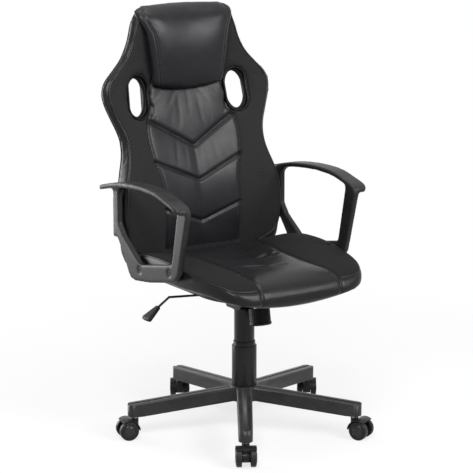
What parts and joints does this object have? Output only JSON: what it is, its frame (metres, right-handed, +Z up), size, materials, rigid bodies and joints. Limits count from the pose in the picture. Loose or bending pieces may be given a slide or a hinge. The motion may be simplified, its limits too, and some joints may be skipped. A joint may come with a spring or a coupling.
{
  "type": "gaming chair",
  "caption": "Gaming chair with a bucket seat, shaped back with strap holes and headrest, loop arms, tilt and gas lift, and a five-arm caster base.",
  "frame": {"origin": "on the floor, on the column's axis", "axes": "+Z up, -Y towards the front of the chair, +X towards the sitter's left"},
  "size_m": [0.6636, 0.6523, 1.096],
  "materials": {
    "base_plastic": "fine satin grain",
    "column_plastic": "satin",
    "column_steel": "satin black",
    "black_steel": "black powder coat",
    "bright_steel": "zinc plated",
    "bush_plastic": "moulded",
    "grip_plastic": "fine grain",
    "arm_plastic": "fine satin grain",
    "trim_plastic": "satin gloss",
    "caster_nylon": "satin",
    "wheel_nylon": "satin",
    "plywood": "plain ply",
    "lining": "woven dust lining",
    "upholstery": "smooth leatherette with mesh side panels"
  },
  "bodies": {
    "base": {"five_star_base": "base_plastic", "gas_tube": "column_steel", "guide_bush": "bush_plastic", "lower_cover": "column_plastic", "middle_cover": "column_plastic"},
    "spindle": {"piston_rod": "bright_steel", "thrust_bearing": "bright_steel", "retaining_clip": "bright_steel"},
    "mechanism": {"gas_cylinder": "bright_steel", "upper_cover": "column_plastic", "tilt_housing": "black_steel", "tilt_axle": "bright_steel", "tension_spring": "bright_steel"},
    "button": {"release_button": "bright_steel"},
    "lever_slide": {"lever_bush": "bush_plastic"},
    "lever": {"lever_rod": "black_steel", "lever_handle": "grip_plastic"},
    "seat": {"seat_plate": "black_steel", "tension_bolt": "bright_steel", "seat_board": "plywood", "seat_bolts": "bright_steel", "seat_underside_cover": "lining", "seat_cushion": "upholstery", "back_board": "plywood", "back_cushion": "upholstery", "back_rear_cover": "upholstery", "headrest_pad": "upholstery", "strap_trim_left": "trim_plastic", "strap_trim_right": "trim_plastic", "left_arm": "arm_plastic", "right_arm": "arm_plastic", "arm_seat_bolts": "bright_steel", "arm_back_bolts": "bright_steel"},
    "tension_nut": {"thrust_washer": "bright_steel"},
    "knob": {"tension_knob": "grip_plastic"},
    "caster_1": {"caster_1_hood": "caster_nylon", "caster_1_stem": "bright_steel", "caster_1_axle": "bright_steel"},
    "caster_1_roller_a": {"caster_1_wheel_a": "wheel_nylon"},
    "caster_1_roller_b": {"caster_1_wheel_b": "wheel_nylon"},
    "caster_2": {"caster_2_hood": "caster_nylon", "caster_2_stem": "bright_steel", "caster_2_axle": "bright_steel"},
    "caster_2_roller_a": {"caster_2_wheel_a": "wheel_nylon"},
    "caster_2_roller_b": {"caster_2_wheel_b": "wheel_nylon"},
    "caster_3": {"caster_3_hood": "caster_nylon", "caster_3_stem": "bright_steel", "caster_3_axle": "bright_steel"},
    "caster_3_roller_a": {"caster_3_wheel_a": "wheel_nylon"},
    "caster_3_roller_b": {"caster_3_wheel_b": "wheel_nylon"},
    "caster_4": {"caster_4_hood": "caster_nylon", "caster_4_stem": "bright_steel", "caster_4_axle": "bright_steel"},
    "caster_4_roller_a": {"caster_4_wheel_a": "wheel_nylon"},
    "caster_4_roller_b": {"caster_4_wheel_b": "wheel_nylon"},
    "caster_5": {"caster_5_hood": "caster_nylon", "caster_5_stem": "bright_steel", "caster_5_axle": "bright_steel"},
    "caster_5_roller_a": {"caster_5_wheel_a": "wheel_nylon"},
    "caster_5_roller_b": {"caster_5_wheel_b": "wheel_nylon"}
  },
  "joints": [
    {"name": "seat_swivel", "type": "hinge", "parent": "base", "child": "spindle", "pos_m": [0, 0, 0.08], "axis": [0, 0, 1], "continuous": true},
    {"name": "height_lift", "type": "slide", "parent": "spindle", "child": "mechanism", "axis": [0, 0, 1], "range_m": [-0.085, 0.015]},
    {"name": "seat_tilt", "type": "hinge", "parent": "mechanism", "child": "seat", "pos_m": [0, -0.03, 0.357], "axis": [-1, 0, 0], "range_deg": [0, 12], "stiffness_Nm_per_rad": 90, "springref_deg": -20.05, "deforming": ["tension_spring"]},
    {"name": "lever_pull", "type": "slide", "parent": "mechanism", "child": "lever_slide", "axis": [-1, 0, 0], "range_m": [0, 0.012]},
    {"name": "lever_lift", "type": "hinge", "parent": "lever_slide", "child": "lever", "pos_m": [-0.042, 0, 0.3693], "axis": [0, 1, 0], "range_deg": [0, 4], "stiffness_Nm_per_rad": 8, "springref_deg": -6.88},
    {"name": "button_press", "type": "slide", "parent": "mechanism", "child": "button", "axis": [0, 0, -1], "range_m": [0, 0.0034]},
    {"name": "tension_feed", "type": "slide", "parent": "seat", "child": "tension_nut", "axis": [0, 0.1736, 0.9848], "range_m": [-0.00305, 0.00305]},
    {"name": "knob_turn", "type": "hinge", "parent": "tension_nut", "child": "knob", "pos_m": [0, -0.077, 0.295], "axis": [0, 0.1736, 0.9848], "range_deg": [-720, 720]},
    {"name": "caster_1_swivel", "type": "hinge", "parent": "base", "child": "caster_1", "pos_m": [-0.16207, -0.25245, 0.06], "axis": [0, 0, 1], "continuous": true},
    {"name": "caster_1_roll_a", "type": "hinge", "parent": "caster_1", "child": "caster_1_roller_a", "pos_m": [-0.17207, -0.26977, 0.025], "axis": [-0.866, 0.5, 0], "continuous": true},
    {"name": "caster_1_roll_b", "type": "hinge", "parent": "caster_1", "child": "caster_1_roller_b", "pos_m": [-0.17207, -0.26977, 0.025], "axis": [-0.866, 0.5, 0], "continuous": true},
    {"name": "caster_2_swivel", "type": "hinge", "parent": "base", "child": "caster_2", "pos_m": [0.19001, -0.23215, 0.06], "axis": [0, 0, 1], "continuous": true},
    {"name": "caster_2_roll_a", "type": "hinge", "parent": "caster_2", "child": "caster_2_roller_a", "pos_m": [0.19878, -0.25013, 0.025], "axis": [-0.8988, -0.4384, 0], "continuous": true},
    {"name": "caster_2_roll_b", "type": "hinge", "parent": "caster_2", "child": "caster_2_roller_b", "pos_m": [0.19878, -0.25013, 0.025], "axis": [-0.8988, -0.4384, 0], "continuous": true},
    {"name": "caster_3_swivel", "type": "hinge", "parent": "base", "child": "caster_3", "pos_m": [0.27951, 0.10898, 0.06], "axis": [0, 0, 1], "continuous": true},
    {"name": "caster_3_roll_a", "type": "hinge", "parent": "caster_3", "child": "caster_3_roller_a", "pos_m": [0.29098, 0.12536, 0.025], "axis": [0.8192, -0.5736, 0], "continuous": true},
    {"name": "caster_3_roll_b", "type": "hinge", "parent": "caster_3", "child": "caster_3_roller_b", "pos_m": [0.29098, 0.12536, 0.025], "axis": [0.8192, -0.5736, 0], "continuous": true},
    {"name": "caster_4_swivel", "type": "hinge", "parent": "base", "child": "caster_4", "pos_m": [-0.01727, 0.2995, 0.06], "axis": [0, 0, 1], "continuous": true},
    {"name": "caster_4_roll_a", "type": "hinge", "parent": "caster_4", "child": "caster_4_roller_a", "pos_m": [-0.00638, 0.31628, 0.025], "axis": [0.8387, -0.5446, 0], "continuous": true},
    {"name": "caster_4_roll_b", "type": "hinge", "parent": "caster_4", "child": "caster_4_roller_b", "pos_m": [-0.00638, 0.31628, 0.025], "axis": [0.8387, -0.5446, 0], "continuous": true},
    {"name": "caster_5_swivel", "type": "hinge", "parent": "base", "child": "caster_5", "pos_m": [-0.29018, 0.07613, 0.06], "axis": [0, 0, 1], "continuous": true},
    {"name": "caster_5_roll_a", "type": "hinge", "parent": "caster_5", "child": "caster_5_roller_a", "pos_m": [-0.30967, 0.08063, 0.025], "axis": [0.225, 0.9744, 0], "continuous": true},
    {"name": "caster_5_roll_b", "type": "hinge", "parent": "caster_5", "child": "caster_5_roller_b", "pos_m": [-0.30967, 0.08063, 0.025], "axis": [0.225, 0.9744, 0], "continuous": true}
  ],
  "couplings": [
    {"joint": "button_press", "follows": "lever_lift", "m_per_rad": 0.046},
    {"joint": "tension_feed", "follows": "knob_turn", "m_per_rad": 0.00023873}
  ]
}
